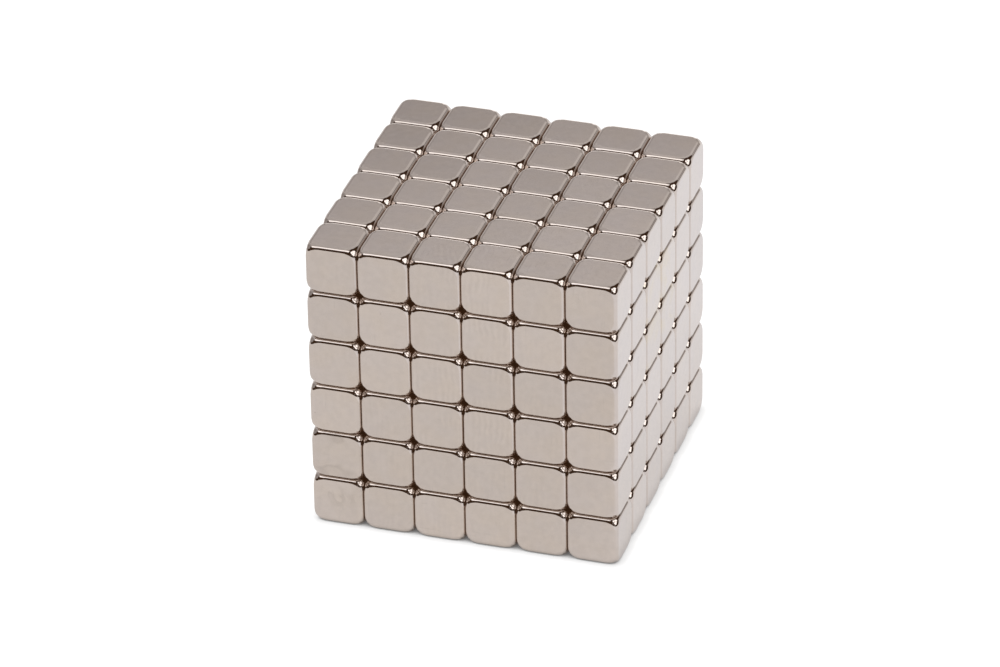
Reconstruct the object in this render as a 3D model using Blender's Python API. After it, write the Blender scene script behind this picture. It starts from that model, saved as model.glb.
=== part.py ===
"""Magnetic desk sculpture: a cube stacked from small nickel-plated cube magnets.

Six magnets stand along each side of the cube. Nothing but their own pull holds them together: there
are no fasteners, and there is nothing inside but more magnets. Magnets stick pole to pole in rods
that run from front to back, and the rods lie side by side in layers.

The five lower layers are six rods each. In the top layer the magnets round the rim are single, and
four shorter rods fill the middle. Rods slide along their length, whole layers shift sideways over
the layer below, the top layer also twists, and its pieces lift off.

Metres, +Z up. The origin is the centre of the cube's footprint, and the front faces -Y.
"""

import bmesh
import bpy
from mathutils import Vector

# Driving dimensions
MAGNETS_PER_SIDE = 6
MAGNET_SIDE = 0.005
EDGE_BEVEL = 0.00038
CLEARANCE = 0.00002  # between two pieces that slide over each other
WELD_DISTANCE = 0.000001

# The magnets' finish: bright nickel over copper, slightly warm
NICKEL_COLOUR = (0.60, 0.53, 0.48, 1.0)
NICKEL_ROUGHNESS = 0.22

PITCH = MAGNET_SIDE + CLEARANCE
TOP_LAYER = MAGNETS_PER_SIDE
PLACES = range(1, MAGNETS_PER_SIDE + 1)
RIM_PLACES = (1, MAGNETS_PER_SIDE)
INNER_PLACES = range(2, MAGNETS_PER_SIDE)
OBJECT_NAME = "magnetic_desk_sculpture"


def clear_scene():
    for old in list(bpy.data.objects):
        bpy.data.objects.remove(old, do_unlink=True)


def make_collection(name):
    made = bpy.data.collections.new(name)
    bpy.context.scene.collection.children.link(made)
    return made


def nickel_material():
    """The finish that every magnet shares."""
    material = bpy.data.materials.new("nickel_plating")
    material.use_nodes = True
    shader = material.node_tree.nodes["Principled BSDF"]
    shader.inputs["Base Color"].default_value = NICKEL_COLOUR
    shader.inputs["Metallic"].default_value = 1.0
    shader.inputs["Roughness"].default_value = NICKEL_ROUGHNESS
    return material


def height_of(layer):
    """The height of a layer's middle. The lowest layer stands on the ground."""
    return MAGNET_SIDE / 2 + (layer - 1) * PITCH


def centre_of(cell):
    """The centre of the magnet at a (column, row, layer) cell. Columns count from the left, rows from
    the front and layers from the bottom, all from 1."""
    column, row, layer = cell
    middle = (MAGNETS_PER_SIDE + 1) / 2
    return Vector(((column - middle) * PITCH, (row - middle) * PITCH, height_of(layer)))


def face_towards(faces, direction):
    return max(faces, key=lambda face: face.normal.dot(direction) * face.calc_area())


def add_magnet(mesh, cell, cells, group_centre):
    """Adds one magnet. Towards a neighbour in the same group its face moves out by half the clearance,
    where the two meet, and is left open, so that the two weld into one body."""
    made = bmesh.new()
    bmesh.ops.create_cube(made, size=MAGNET_SIDE)
    bmesh.ops.bevel(made, geom=list(made.edges), offset=EDGE_BEVEL, segments=1, affect="EDGES")
    for step in (-1, 1):
        if (cell[0], cell[1] + step, cell[2]) in cells:
            towards = Vector((0, step, 0))
            shared = face_towards(made.faces, towards)
            bmesh.ops.translate(made, vec=towards * CLEARANCE / 2, verts=list(shared.verts))
            bmesh.ops.delete(made, geom=[shared], context="FACES_ONLY")
    bmesh.ops.translate(made, vec=centre_of(cell) - group_centre, verts=list(made.verts))
    piece = bpy.data.meshes.new("magnet")
    made.to_mesh(piece)
    made.free()
    mesh.from_mesh(piece)
    bpy.data.meshes.remove(piece)


def make_piece(name, cells, collection, material, layer_empty):
    """One sub-part: a single magnet, or a rod of magnets that stick pole to pole."""
    group_centre = sum((centre_of(cell) for cell in cells), Vector()) / len(cells)
    mesh = bmesh.new()
    for cell in cells:
        add_magnet(mesh, cell, cells, group_centre)
    bmesh.ops.remove_doubles(mesh, verts=list(mesh.verts), dist=WELD_DISTANCE)
    data = bpy.data.meshes.new(name)
    mesh.to_mesh(data)
    mesh.free()
    data.materials.append(material)
    piece = bpy.data.objects.new(name, data)
    collection.objects.link(piece)
    piece.parent = layer_empty
    piece.location = group_centre - centre_of_layer(layer_empty["layer"])
    return piece


def centre_of_layer(layer):
    return Vector((0, 0, height_of(layer)))


def make_layer_empty(layer, below, collection):
    """The frame of one layer, on the twist axis. Each layer rides on the one below it."""
    empty = bpy.data.objects.new(f"layer_{layer}", None)
    empty.empty_display_size = MAGNET_SIDE
    empty["layer"] = layer
    collection.objects.link(empty)
    empty.parent = below
    empty.location = centre_of_layer(layer) - (centre_of_layer(layer - 1) if below else Vector())
    return empty


def make_rod(column, rows, layer, collection, material, layer_empty):
    cells = [(column, row, layer) for row in rows]
    return make_piece(f"rod_l{layer}_c{column}", cells, collection, material, layer_empty)


def make_single(column, row, layer, collection, material, layer_empty):
    name = f"magnet_l{layer}_r{row}_c{column}"
    return make_piece(name, [(column, row, layer)], collection, material, layer_empty)


def make_top_layer(collection, material, layer_empty):
    """Single magnets round the rim, and short rods in the middle."""
    for row in PLACES:
        for column in PLACES:
            if row in RIM_PLACES or column in RIM_PLACES:
                make_single(column, row, TOP_LAYER, collection, material, layer_empty)
    for column in INNER_PLACES:
        make_rod(column, INNER_PLACES, TOP_LAYER, collection, material, layer_empty)


def main():
    clear_scene()
    collection = make_collection(OBJECT_NAME)
    material = nickel_material()
    layer_empty = None
    for layer in PLACES:
        layer_empty = make_layer_empty(layer, layer_empty, collection)
        if layer == TOP_LAYER:
            make_top_layer(collection, material, layer_empty)
        else:
            for column in PLACES:
                make_rod(column, PLACES, layer, collection, material, layer_empty)


main()
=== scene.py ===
"""The looks of the magnetic desk sculpture: a cube of nickel-plated cube magnets on a white table."""

import math
import random

import bpy
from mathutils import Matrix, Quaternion, Vector


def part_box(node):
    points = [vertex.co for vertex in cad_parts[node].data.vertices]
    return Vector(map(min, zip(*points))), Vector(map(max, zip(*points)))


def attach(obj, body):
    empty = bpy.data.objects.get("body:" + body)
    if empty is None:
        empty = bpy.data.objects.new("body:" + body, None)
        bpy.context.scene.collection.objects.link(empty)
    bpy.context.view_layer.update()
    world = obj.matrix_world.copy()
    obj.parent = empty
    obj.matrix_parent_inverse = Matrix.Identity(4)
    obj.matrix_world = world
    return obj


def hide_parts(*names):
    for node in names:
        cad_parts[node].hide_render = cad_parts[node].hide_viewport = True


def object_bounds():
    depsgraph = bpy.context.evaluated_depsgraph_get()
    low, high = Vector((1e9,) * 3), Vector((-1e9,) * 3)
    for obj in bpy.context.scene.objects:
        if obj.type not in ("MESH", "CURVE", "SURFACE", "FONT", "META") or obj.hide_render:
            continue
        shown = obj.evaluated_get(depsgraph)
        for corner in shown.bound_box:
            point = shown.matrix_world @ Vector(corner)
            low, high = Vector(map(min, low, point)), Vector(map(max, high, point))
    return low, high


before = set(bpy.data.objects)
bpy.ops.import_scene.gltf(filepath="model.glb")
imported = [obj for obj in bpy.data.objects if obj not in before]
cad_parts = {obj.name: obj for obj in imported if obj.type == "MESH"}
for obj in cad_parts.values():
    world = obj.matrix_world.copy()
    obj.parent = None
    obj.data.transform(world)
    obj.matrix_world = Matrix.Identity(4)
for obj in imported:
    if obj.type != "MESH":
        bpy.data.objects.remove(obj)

CAD_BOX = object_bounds()
CUBE_LOW, CUBE_HIGH = CAD_BOX
CUBE_SIDE = CUBE_HIGH.z - CUBE_LOW.z
CUBE_CENTRE = (CUBE_LOW + CUBE_HIGH) / 2

# How the cube is stacked
MAGNETS_PER_SIDE = 6
PLACES = range(1, MAGNETS_PER_SIDE + 1)
ROOT_ROD = "rod_l1_c3"

# The shape of one magnet, in metres. The edges along X, Y and Z are rounded differently, and each
# rounding widens to that of the corners over the last part of the edge.
SKIN_GAP = 0.000006
MAGNET_LOW, MAGNET_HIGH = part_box("magnet_l6_r1_c1")
HALF_SIDE = (MAGNET_HIGH.x - MAGNET_LOW.x) / 2 - SKIN_GAP
EDGE_RADII = (0.00042, 0.00037, 0.00031)
CORNER_RADIUS = 0.00085
CORNER_REACH = 0.00130
AXIS_BLEND = 0.00020
FAN_ANGLES = (0, 10, 19, 27, 33, 36, 39, 42, 45)
BISECTIONS = 30
SLOPE_STEP = 0.000002

# A painted highlight: a lighter band just inside each face's edges, where it lies and how wide it is
PAINTED_SHEEN_PLACE = 0.00037
PAINTED_SHEEN_WIDTH = 0.00012

# Small errors in how the magnets sit
JITTER_SEED = 7
JITTER_ANGLE = math.radians(0.12)
JITTER_STEP = 0.000004

# Marks that a magnet carries, read by the nickel: how strongly it is lapped, smudged and stained
LAPPED = "lapped"
SMUDGED = "smudged"
STAINED = "stained"
# A point's share of the painted highlight just inside a face's edges
PAINTED_SHEEN = "painted_sheen"
LAPPED_RANGE = (0.05, 0.40)
LAPPED_COLUMNS = (3, 4)
LAPPED_FROM_LAYER = 3
SMUDGED_TO_LAYER = 2
STAINED_ROWS = (3, 4)
STAINED_LAYERS = (4, 5)

# The nickel. Colours are linear light, and scales are features per metre. EDGES are where a mark or
# a patch starts to show and where it shows fully. TONE, ROUGH and DEPTH are a mark's share of the
# tone, the roughness and the height.
NICKEL_COOL = (0.597, 0.530, 0.492, 1)
NICKEL_WARM = (0.613, 0.533, 0.472, 1)
STAIN_COLOUR = (0.640, 0.545, 0.420, 1)
# The nickel glows faintly with this brown all over: painted light that lifts the dark grooves between
# magnets
PAINTED_GROOVE_GLOW = (0.010, 0.005, 0.0025, 1)
OWN_PATCHES = (7.0, 3.0)
PATCH_SCALE = 380.0
PATCH_EDGES = (0.30, 0.70)
CLOUDS_SHARE = 0.6
GRAIN_SCALE = 1500.0
GRAIN_EDGES = (0.30, 0.70)
MAGNET_TONES = (0.955, 1.010)
GRAIN_TONE = 0.045
# How much the painted highlight just inside each face's edges lightens the nickel
PAINTED_SHEEN_TONE = 0.015
ARC_CENTRE = (0.012, 0.0, 0.009)
ARC_SCALE = 600.0
ARC_WOBBLE = 6.0
ARC_DETAIL = 2.0
ARC_DETAIL_SCALE = 0.9
ARC_PATCH_SCALE = 300.0
ARC_PATCH_EDGES = (0.40, 0.60)
ARC_TONE = 0.055
SCRATCH_LENGTHWISE = 300.0
SCRATCH_CROSSWISE = 9000.0
SCRATCH_TURNS = (0.4, 2.1)
SCRATCH_EDGES = (0.66, 0.72)
SCRATCH_PATCH_SCALE = 600.0
SCRATCH_PATCH_EDGES = (0.50, 0.65)
SCRATCH_TONE, SCRATCH_ROUGH, SCRATCH_DEPTH = 0.05, 0.05, 0.2
SPECK_SCALE = 650.0
SPECK_EDGES = (0.045, 0.020)
SPECK_PATCH_SCALE = 420.0
SPECK_PATCH_EDGES = (0.56, 0.60)
SPECK_TONE, SPECK_ROUGH = 0.28, 0.20
SMUDGE_SCALE = 210.0
SMUDGE_SWIRL = 1.6
SMUDGE_LINE = 0.070
SMUDGE_PATCH_SCALE = 380.0
SMUDGE_PATCH_EDGES = (0.40, 0.60)
SMUDGE_TONE, SMUDGE_ROUGH = 0.10, 0.08
HAZE_EDGES = (0.45, 0.60)
HAZE_TONE, HAZE_ROUGH = 0.035, 0.06
STAIN_SCALE = 450.0
STAIN_SWIRL = 0.8
STAIN_EDGES = (0.42, 0.66)
STAIN_SHARE, STAIN_ROUGH = 0.60, 0.08
FINE_SCALE = 2600.0
FINE_EDGES = (0.30, 0.70)
ROUGHNESS = (0.070, 0.105)
RIPPLE_SCALE = 1100.0
RIPPLE_HEIGHT = 0.8
BUMP_DEPTH = 0.0000004
NOISE_MIDDLE = 0.5

# The white table. It glows with painted light in place of the light falling on it, less where something
# stands on it: a painted contact shadow.
# CONTACT_DARK and CONTACT_FAINT say how open the sky is, from and to, and what that adds to the glow.
TABLE_COLOUR = (0.29, 0.29, 0.29, 1)
TABLE_COLOUR_GRAIN = (0.32, 0.32, 0.32, 1)
TABLE_GRAIN_SCALE = 900.0
TABLE_GRAIN_EDGES = (0.30, 0.70)
TABLE_ROUGHNESS = (0.85, 1.0)
TABLE_GLOW = (0.71, 0.71, 0.705, 1)
TABLE_GLOW_RIGHT = (0.83, 0.853, 0.90, 1)
TABLE_GLOW_SEEN = (1.0, 1.0, 1.0, 1)
TABLE_GLOW_ENDS = (0.005, 0.025)
TABLE_GAP = 0.00001
TABLE_LOW = (-1.0, -2.4)
TABLE_HIGH = (2.4, 1.0)
CONTACT_REACH = 0.0011
CONTACT_SAMPLES = 8
CONTACT_DARK = (0.05, 0.54, 0.08, 0.75)
CONTACT_FAINT = (0.54, 1.0, 0.0, 0.25)

# The studio, as directions seen from the cube. Each pair or four of numbers is a soft edge: where
# it starts and ends along one axis, and the light's share at each. ANGLES are in degrees: the light
# is full within the first, and has faded out at the second.
STUDIO_WHITE = (1.0, 1.02, 1.05)
ROOM_BROWN = (0.045, 0.024, 0.014)
SEEN_WHITE = (1, 1, 1, 1)
OVERHEAD_GLOW = 1.7
OVERHEAD_FRONT = (-0.68, -0.52)
OVERHEAD_BACK = (-0.08, -0.18)
OVERHEAD_RIGHT = (0.16, 0.08)
OVERHEAD_FOOT = (0.58, 0.66)
SIDE_BOX = (0.72, -0.26, 0.64)
SIDE_BOX_ANGLES = (11, 15)
SIDE_BOX_GLOW = 1.9
PANEL = (0.683, -0.683, 0.259)
PANEL_ANGLES = (5, 9)
PANEL_GLOW = 0.42
WALL_FOOT = (0.465, 0.510, 0.385, 0.71)
WALL_HEAD = (0.515, 0.58, 1.0, 0.86)
WALL_LEFT = (-0.295, -0.25, 0.90, 1.0)
WALL_FRONT = (-0.20, 0.05)
WALL_LEAN = 0.7
WALL_RIGHT = (0.74, 0.58)
SWEEP_TOP = (0.43, 0.27)
SWEEP_FRONT = (0.35, 0.60)
SWEEP_LEFT = (-0.43, -0.30, 0.45, 1.0)
SWEEP_RIGHT = (0.02, -0.16, 0.80, 1.45)
DUSK = (0.54, 0.82, 0.16)
DUSK_ANGLES = (4, 11)
DUSK_SHARE = 0.35

# How often light is followed from one surface to the next
MAX_BOUNCES = 16
GLOSSY_BOUNCES = 12

# The camera
CAMERA_AZIMUTH = math.radians(17.535)
CAMERA_ELEVATION = math.radians(30.629)
CAMERA_ROLL = math.radians(0.928)
CAMERA_DISTANCE = 19.1946 * CUBE_SIDE
CAMERA_LENS = 218.4
CAMERA_SENSOR = 36.0
CAMERA_CLIP = (0.05, 20)
CAMERA_ASIDE = -0.02975 * CUBE_SIDE
CAMERA_ABOVE = -0.01744 * CUBE_SIDE


# ---------------------------------------------------------------- the magnet's shape


def smooth_step(share):
    share = min(max(share, 0.0), 1.0)
    return share * share * (3 - 2 * share)


def outside_magnet(point):
    """How far a point lies outside the magnet: a box whose rounding widens towards its corners."""
    p = [abs(c) for c in point]
    weights = [math.exp(-c / AXIS_BLEND) for c in p]
    edge_radius = sum(w * r for w, r in zip(weights, EDGE_RADII)) / sum(weights)
    share = smooth_step((min(p) - (HALF_SIDE - CORNER_REACH)) / CORNER_REACH)
    radius = edge_radius + (CORNER_RADIUS - edge_radius) * share
    past = [c - (HALF_SIDE - radius) for c in p]
    outer = math.sqrt(sum(max(c, 0.0) ** 2 for c in past))
    return outer + min(max(past), 0.0) - radius


def surface_point(start, direction):
    """Where a ray from inside the magnet leaves it."""
    near, far = 0.0, 2 * HALF_SIDE
    for _ in range(BISECTIONS):
        middle = (near + far) / 2
        if outside_magnet(start + direction * middle) > 0:
            far = middle
        else:
            near = middle
    return start + direction * near


def surface_normal(point):
    slopes = []
    for axis in range(3):
        step = Vector()
        step[axis] = SLOPE_STEP
        slopes.append(outside_magnet(point + step) - outside_magnet(point - step))
    return Vector(slopes).normalized()


def magnet_mesh(name):
    """A magnet whose grid of faces is fine where it's round: along its edges and at its corners."""
    core = HALF_SIDE - CORNER_REACH
    fan = [core + CORNER_REACH * math.tan(math.radians(angle)) for angle in FAN_ANGLES]
    lines = [-value for value in reversed(fan)] + fan
    last = len(lines) - 1
    places, faces = {}, []

    def vertex(*key):
        if key not in places:
            on_cube = Vector([lines[k] for k in key])
            inside = Vector([min(max(c, -core), core) for c in on_cube])
            places[key] = (len(places), surface_point(inside, (on_cube - inside).normalized()))
        return places[key][0]

    for axis in range(3):
        for side in (0, last):
            for u in range(last):
                for v in range(last):
                    corners = []
                    for du, dv in ((0, 0), (1, 0), (1, 1), (0, 1)):
                        index = [0, 0, 0]
                        index[axis] = side
                        index[(axis + 1) % 3] = u + du
                        index[(axis + 2) % 3] = v + dv
                        corners.append(vertex(*index))
                    faces.append(corners if side else corners[::-1])
    points = [place for _, place in places.values()]
    mesh = bpy.data.meshes.new(name)
    mesh.from_pydata(points, [], faces)
    mesh.shade_smooth()
    mesh.normals_split_custom_set_from_vertices([surface_normal(p) for p in points])
    # Each point carries its share of the painted highlight: a band just inside a face's edges
    painted_sheen = mesh.attributes.new(PAINTED_SHEEN, "FLOAT", "POINT")
    for place, point in enumerate(points):
        from_edge = HALF_SIDE - sorted(abs(c) for c in point)[1]
        painted_sheen.data[place].value = math.exp(-((from_edge - PAINTED_SHEEN_PLACE) / PAINTED_SHEEN_WIDTH) ** 2)
    return mesh


# ---------------------------------------------------------------- node helpers


class Nodes:
    """Adds nodes to a tree in a readable way: each call makes a node and returns its output."""

    def __init__(self, tree):
        self.tree = tree
        tree.nodes.clear()

    def set(self, socket, value):
        if isinstance(value, bpy.types.NodeSocket):
            self.tree.links.new(value, socket)
        else:
            socket.default_value = value

    def new(self, kind, inputs=None, **settings):
        node = self.tree.nodes.new(kind)
        for key, value in settings.items():
            setattr(node, key, value)
        for key, value in (inputs or {}).items():
            self.set(node.inputs[key], value)
        return node

    def add(self, kind, output=0, inputs=None, **settings):
        return self.new(kind, inputs, **settings).outputs[output]

    def maths(self, operation, a, b=0.0):
        return self.add("ShaderNodeMath", inputs={0: a, 1: b}, operation=operation)

    def vector(self, operation, a, b):
        return self.add("ShaderNodeVectorMath", inputs={0: a, 1: b}, operation=operation)

    def plus(self, *terms):
        total = terms[0]
        for term in terms[1:]:
            total = self.maths("ADD", total, term)
        return total

    def times(self, *factors):
        product = factors[0]
        for factor in factors[1:]:
            product = self.maths("MULTIPLY", product, factor)
        return product

    def greatest(self, *values):
        most = values[0]
        for value in values[1:]:
            most = self.maths("MAXIMUM", most, value)
        return most

    def ramp(self, value, low, high, to_low=0.0, to_high=1.0, kind="SMOOTHSTEP"):
        ends = {"Value": value, "From Min": low, "From Max": high, "To Min": to_low, "To Max": to_high}
        return self.add("ShaderNodeMapRange", inputs=ends, interpolation_type=kind)

    def mix(self, share, a, b):
        node = self.new("ShaderNodeMix", data_type="RGBA")
        colours = [socket for socket in node.inputs if socket.type == "RGBA"]
        self.set(node.inputs["Factor"], share)
        self.set(colours[0], a)
        self.set(colours[1], b)
        return next(socket for socket in node.outputs if socket.type == "RGBA")

    def grey(self, value):
        return self.add("ShaderNodeCombineXYZ", inputs={0: value, 1: value, 2: value})

    def noise(self, vector, scale, detail=3.0, distortion=0.0):
        inputs = {"Vector": vector, "Scale": scale, "Detail": detail, "Distortion": distortion}
        return self.add("ShaderNodeTexNoise", inputs=inputs)

    def patches(self, vector, scale, low, high, detail=3.0):
        """Soft-edged patches where noise is high."""
        return self.ramp(self.noise(vector, scale, detail=detail), low, high)

    def near(self, way, direction, inner, outer):
        """One within an inner angle of a direction, in degrees, and nothing beyond an outer one."""
        inputs = {0: way, 1: Vector(direction).normalized()}
        closeness = self.add("ShaderNodeVectorMath", "Value", inputs=inputs, operation="DOT_PRODUCT")
        return self.ramp(closeness, math.cos(math.radians(outer)), math.cos(math.radians(inner)))

    def parts(self, vector):
        return self.new("ShaderNodeSeparateXYZ", {0: vector}).outputs

    def mark(self, name, kind="OBJECT"):
        """A number that each magnet, or each point of its mesh, carries."""
        return self.add("ShaderNodeAttribute", "Fac", attribute_type=kind, attribute_name=name)


# ---------------------------------------------------------------- materials


def new_material(name):
    material = bpy.data.materials.new(name)
    material.use_nodes = True
    return material, Nodes(material.node_tree)


def lapping(n, place):
    """Faint arcs left by lapping, and how strongly each patch shows them."""
    inputs = {"Vector": n.vector("ADD", place, ARC_CENTRE), "Scale": ARC_SCALE, "Distortion": ARC_WOBBLE,
              "Detail": ARC_DETAIL, "Detail Scale": ARC_DETAIL_SCALE}
    arcs = n.add("ShaderNodeTexWave", "Fac", inputs, wave_type="RINGS", rings_direction="SPHERICAL")
    return arcs, n.times(n.patches(place, ARC_PATCH_SCALE, *ARC_PATCH_EDGES, detail=1.0), n.mark(LAPPED))


def scratching(n, place):
    """Fine scratches along two directions, in patches."""
    along = (SCRATCH_CROSSWISE, SCRATCH_LENGTHWISE, SCRATCH_LENGTHWISE)
    across = (SCRATCH_LENGTHWISE, SCRATCH_CROSSWISE, SCRATCH_CROSSWISE)
    found = 0.0
    for turn, stretch in zip(SCRATCH_TURNS, (along, across)):
        inputs = {"Vector": place, "Rotation": (turn, turn, turn), "Scale": stretch}
        turned = n.add("ShaderNodeMapping", inputs=inputs)
        found = n.greatest(found, n.patches(turned, 1.0, *SCRATCH_EDGES, detail=1.0))
    return n.times(found, n.patches(place, SCRATCH_PATCH_SCALE, *SCRATCH_PATCH_EDGES))


def specking(n, place):
    """Specks of dust and pits."""
    cells = n.add("ShaderNodeTexVoronoi", "Distance", {"Vector": place, "Scale": SPECK_SCALE})
    patches = n.patches(place, SPECK_PATCH_SCALE, *SPECK_PATCH_EDGES)
    return n.times(n.ramp(cells, *SPECK_EDGES), patches)


def smudging(n, place):
    """Finger smudges: the lines where a print has dried, and the haze between them."""
    swirl = n.noise(place, SMUDGE_SCALE, distortion=SMUDGE_SWIRL)
    off_line = n.maths("ABSOLUTE", n.maths("SUBTRACT", swirl, NOISE_MIDDLE))
    broken = n.patches(place, SMUDGE_PATCH_SCALE, *SMUDGE_PATCH_EDGES, detail=1.0)
    lines = n.times(n.ramp(off_line, SMUDGE_LINE, 0.0), broken, n.mark(SMUDGED))
    return lines, n.times(n.ramp(swirl, *HAZE_EDGES), n.mark(SMUDGED))


def staining(n, place):
    """A yellowish stain."""
    blots = n.ramp(n.noise(place, STAIN_SCALE, detail=4.0, distortion=STAIN_SWIRL), *STAIN_EDGES)
    return n.times(blots, n.mark(STAINED))


def nickel():
    """Bright nickel with patches, a tone for each magnet, and the marks of making and of handling."""
    material, n = new_material("nickel")
    own = n.add("ShaderNodeTexCoord", "Object")
    chance = n.add("ShaderNodeObjectInfo", "Random")
    along_x, along_y = OWN_PATCHES
    shift = n.add("ShaderNodeCombineXYZ",
                  inputs={0: n.times(chance, along_x), 1: n.times(chance, along_y)})
    place = n.vector("ADD", own, shift)
    arcs, arcs_shown = lapping(n, place)
    scratches = scratching(n, place)
    specks = specking(n, place)
    smudge, haze = smudging(n, place)
    stain = staining(n, place)

    # Cool and warm patches, warmer to the right
    aside = n.ramp(n.parts(own)[0], -HALF_SIDE, HALF_SIDE, kind="LINEAR")
    clouds = n.patches(place, PATCH_SCALE, *PATCH_EDGES, detail=4.0)
    warmth = n.plus(n.times(clouds, CLOUDS_SHARE), n.times(aside, 1 - CLOUDS_SHARE))
    colour = n.mix(warmth, NICKEL_COOL, NICKEL_WARM)
    colour = n.mix(n.times(stain, STAIN_SHARE), colour, STAIN_COLOUR)

    # Lighter and darker, and lighter in the painted highlight just inside each face's edges
    tone = n.plus(n.ramp(chance, 0.0, 1.0, *MAGNET_TONES),
                  n.times(n.patches(place, GRAIN_SCALE, *GRAIN_EDGES, detail=5.0), GRAIN_TONE),
                  n.times(n.maths("SUBTRACT", arcs, NOISE_MIDDLE), arcs_shown, ARC_TONE),
                  n.times(n.mark(PAINTED_SHEEN, "GEOMETRY"), PAINTED_SHEEN_TONE))
    for marks, darker in ((scratches, SCRATCH_TONE), (specks, SPECK_TONE), (smudge, SMUDGE_TONE),
                          (haze, HAZE_TONE)):
        tone = n.maths("SUBTRACT", tone, n.times(marks, darker))
    colour = n.vector("MULTIPLY", colour, n.grey(tone))

    # Rougher where it is marked
    rough = n.ramp(n.noise(place, FINE_SCALE), *FINE_EDGES, *ROUGHNESS)
    for marks, rougher in ((scratches, SCRATCH_ROUGH), (specks, SPECK_ROUGH), (smudge, SMUDGE_ROUGH),
                           (haze, HAZE_ROUGH), (stain, STAIN_ROUGH)):
        rough = n.plus(rough, n.times(marks, rougher))

    # Ripples, arcs and scratches in its height
    ripples = n.times(n.noise(place, RIPPLE_SCALE, detail=2.0), RIPPLE_HEIGHT)
    height = n.plus(n.times(arcs, arcs_shown), ripples, n.times(scratches, -SCRATCH_DEPTH))
    bump = n.add("ShaderNodeBump", inputs={"Strength": 1.0, "Distance": BUMP_DEPTH, "Height": height})
    # The brown glow is painted light that lifts the dark grooves between magnets
    bsdf = n.add("ShaderNodeBsdfPrincipled", inputs={
        "Base Color": colour, "Metallic": 1.0, "Roughness": rough, "Normal": bump,
        "Emission Color": PAINTED_GROOVE_GLOW, "Emission Strength": 1.0})
    n.new("ShaderNodeOutputMaterial", {"Surface": bsdf})
    return material


def white_paper():
    """White paper that glows with painted light, brighter to the right of the cube, and carries a
    painted shadow where it is touched.
    """
    material, n = new_material("white_paper")
    own = n.add("ShaderNodeTexCoord", "Object")
    # Painted light: the table glows brighter to the right of the cube
    glow = n.mix(n.ramp(n.parts(own)[0], *TABLE_GLOW_ENDS), TABLE_GLOW, TABLE_GLOW_RIGHT)
    glow = n.mix(n.add("ShaderNodeLightPath", "Is Camera Ray"), glow, TABLE_GLOW_SEEN)
    # Painted contact shadow: the glow fades where something stands close
    open_sky = n.add("ShaderNodeAmbientOcclusion", "AO", {"Distance": CONTACT_REACH},
                     samples=CONTACT_SAMPLES)
    open_sky = n.plus(n.ramp(open_sky, *CONTACT_DARK), n.ramp(open_sky, *CONTACT_FAINT))
    grain = n.patches(own, TABLE_GRAIN_SCALE, *TABLE_GRAIN_EDGES, detail=4.0)
    bsdf = n.add("ShaderNodeBsdfPrincipled", inputs={
        "Base Color": n.mix(grain, TABLE_COLOUR, TABLE_COLOUR_GRAIN),
        "Roughness": n.ramp(grain, 0.0, 1.0, *TABLE_ROUGHNESS), "Specular IOR Level": 0.0,
        "Emission Color": glow, "Emission Strength": open_sky})
    n.new("ShaderNodeOutputMaterial", {"Surface": bsdf})
    return material


def studio():
    """A light box overhead, one to the right, a dim panel in front to the right, a wall behind with
    a bright sweep at its foot that is dimmer to the right, and a dark brown room in front. The
    camera sees plain white."""
    world = bpy.data.worlds.new("studio")
    bpy.context.scene.world = world
    world.use_nodes = True
    n = Nodes(world.node_tree)
    way = n.add("ShaderNodeTexCoord", "Generated")
    x, y, z = n.parts(way)
    overhead = n.times(n.ramp(y, *OVERHEAD_FRONT), n.ramp(y, *OVERHEAD_BACK), n.ramp(x, *OVERHEAD_RIGHT),
                       n.ramp(z, *OVERHEAD_FOOT), OVERHEAD_GLOW)
    side_box = n.times(n.near(way, SIDE_BOX, *SIDE_BOX_ANGLES), SIDE_BOX_GLOW)
    panel = n.times(n.near(way, PANEL, *PANEL_ANGLES), PANEL_GLOW)
    leaning = n.plus(x, n.times(z, WALL_LEAN))
    wall = n.times(n.ramp(z, *WALL_FOOT), n.ramp(z, *WALL_HEAD), n.ramp(x, *WALL_LEFT),
                   n.ramp(leaning, *WALL_RIGHT), n.ramp(y, *WALL_FRONT))
    sweep = n.times(n.ramp(z, *SWEEP_TOP), n.ramp(y, *SWEEP_FRONT), n.ramp(x, *SWEEP_LEFT),
                    n.ramp(x, *SWEEP_RIGHT))
    dusk = n.ramp(n.near(way, DUSK, *DUSK_ANGLES), 0, 1, 1.0, DUSK_SHARE, kind="LINEAR")
    white = n.times(n.greatest(overhead, side_box, panel, wall, sweep), dusk)
    lit = n.vector("ADD", n.vector("MULTIPLY", n.grey(white), STUDIO_WHITE), ROOM_BROWN)
    colour = n.mix(n.add("ShaderNodeLightPath", "Is Camera Ray"), lit, SEEN_WHITE)
    back = n.add("ShaderNodeBackground", inputs={"Color": colour, "Strength": 1.0})
    n.new("ShaderNodeOutputWorld", {"Surface": back})


# ---------------------------------------------------------------- the pieces


def cell_centre(column, row, layer):
    """The middle of a place in the cube, from the solids that stand in that column, row and layer."""
    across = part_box(f"rod_l1_c{column}")
    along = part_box(f"magnet_l6_r{row}_c1")
    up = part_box(f"rod_l{layer}_c3")
    return Vector([(ends[0][axis] + ends[1][axis]) / 2 for axis, ends in enumerate((across, along, up))])


def node_at(column, row, layer):
    """The CAD node that holds the magnet in this place."""
    single = f"magnet_l{layer}_r{row}_c{column}"
    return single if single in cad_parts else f"rod_l{layer}_c{column}"


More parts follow.
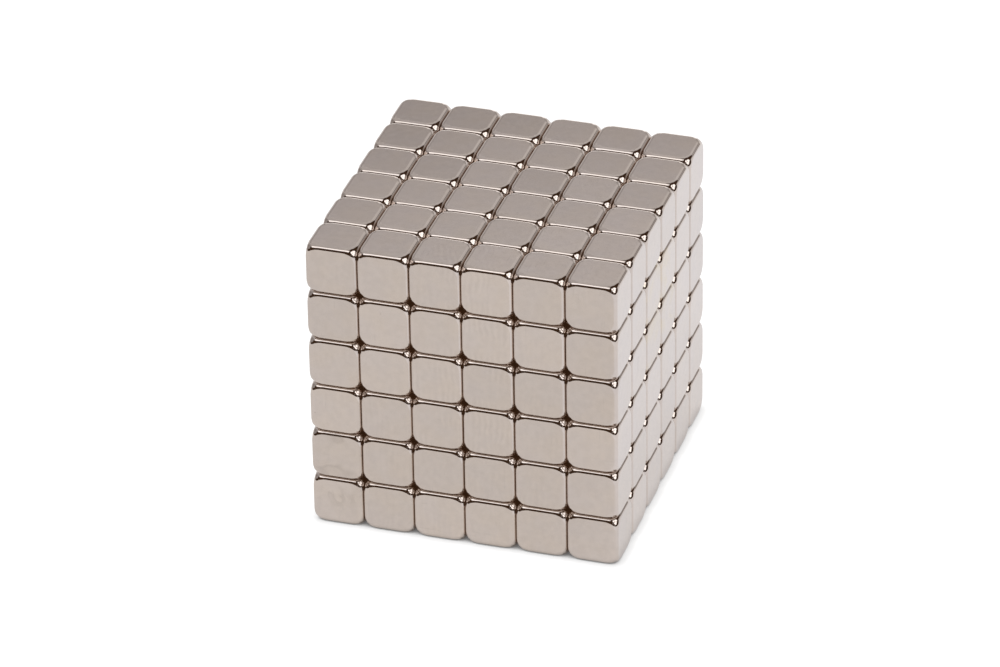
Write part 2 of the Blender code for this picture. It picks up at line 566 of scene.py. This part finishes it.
def make_magnets(mesh, material):
    """A piece for each magnet. Those of the root rod come back unfinished, to be joined."""
    chance = random.Random(JITTER_SEED)
    mesh.materials.append(material)
    in_root = []
    for layer in PLACES:
        for row in PLACES:
            for column in PLACES:
                piece = bpy.data.objects.new(f"nickel_magnet_l{layer}_r{row}_c{column}", mesh)
                bpy.context.scene.collection.objects.link(piece)
                step = Vector([chance.uniform(-1, 1) * JITTER_STEP for _ in range(3)])
                piece.location = cell_centre(column, row, layer) + step
                piece.rotation_euler = [chance.uniform(-1, 1) * JITTER_ANGLE for _ in range(3)]
                mark_magnet(piece, column, row, layer, chance)
                node = node_at(column, row, layer)
                if node == ROOT_ROD:
                    in_root.append(piece)
                else:
                    finish_piece(piece, node)
    return in_root


def mark_magnet(piece, column, row, layer, chance):
    """Lapping shows most in the middle of the front; the front left foot is smudged; the right is
    stained."""
    on_front, on_left, on_right = row == 1, column == 1, column == MAGNETS_PER_SIDE
    piece[LAPPED] = chance.uniform(*LAPPED_RANGE)
    if on_front and column in LAPPED_COLUMNS and layer >= LAPPED_FROM_LAYER:
        piece[LAPPED] = 1.0
    piece[SMUDGED] = float(on_front and on_left and layer <= SMUDGED_TO_LAYER)
    piece[STAINED] = float(on_right and row in STAINED_ROWS and layer in STAINED_LAYERS)


def finish_piece(piece, node):
    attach(piece, node)
    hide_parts(node)


def join_root_rod(parts):
    """The rod that the rest is stacked on is one piece."""
    rod = parts[0]
    for part in parts:
        part.data = part.data.copy()
    with bpy.context.temp_override(active_object=rod, selected_editable_objects=parts):
        bpy.ops.object.join()
    rod.name = "nickel_" + ROOT_ROD
    finish_piece(rod, ROOT_ROD)


def make_floor(material):
    (x0, y0), (x1, y1) = TABLE_LOW, TABLE_HIGH
    corners = [(x0, y0, 0), (x1, y0, 0), (x1, y1, 0), (x0, y1, 0)]
    mesh = bpy.data.meshes.new("table_top")
    mesh.from_pydata(corners, [], [(0, 1, 2, 3)])
    floor = bpy.data.objects.new("table_top", mesh)
    bpy.context.scene.collection.objects.link(floor)
    floor.location.z = CUBE_LOW.z - TABLE_GAP
    floor.data.materials.append(material)


def make_camera():
    data = bpy.data.cameras.new("camera")
    data.lens = CAMERA_LENS
    data.sensor_width = CAMERA_SENSOR
    data.clip_start, data.clip_end = CAMERA_CLIP
    camera = bpy.data.objects.new("camera", data)
    bpy.context.scene.collection.objects.link(camera)
    azimuth, elevation = CAMERA_AZIMUTH, CAMERA_ELEVATION
    back = Vector((math.sin(azimuth) * math.cos(elevation),
                   -math.cos(azimuth) * math.cos(elevation), math.sin(elevation)))
    right = Vector((math.cos(azimuth), math.sin(azimuth), 0))
    up = back.cross(right)
    target = CUBE_CENTRE + right * CAMERA_ASIDE + up * CAMERA_ABOVE
    camera.location = target + back * CAMERA_DISTANCE
    camera.rotation_mode = "QUATERNION"
    camera.rotation_quaternion = Quaternion(-back, CAMERA_ROLL) @ (-back).to_track_quat("-Z", "Y")
    bpy.context.scene.camera = camera


def main():
    scene = bpy.context.scene
    scene.view_settings.view_transform = "Standard"
    scene.cycles.max_bounces = MAX_BOUNCES
    scene.cycles.glossy_bounces = GLOSSY_BOUNCES
    make_camera()
    studio()
    make_floor(white_paper())
    in_root = make_magnets(magnet_mesh("nickel_magnet"), nickel())
    join_root_rod(in_root)


main()
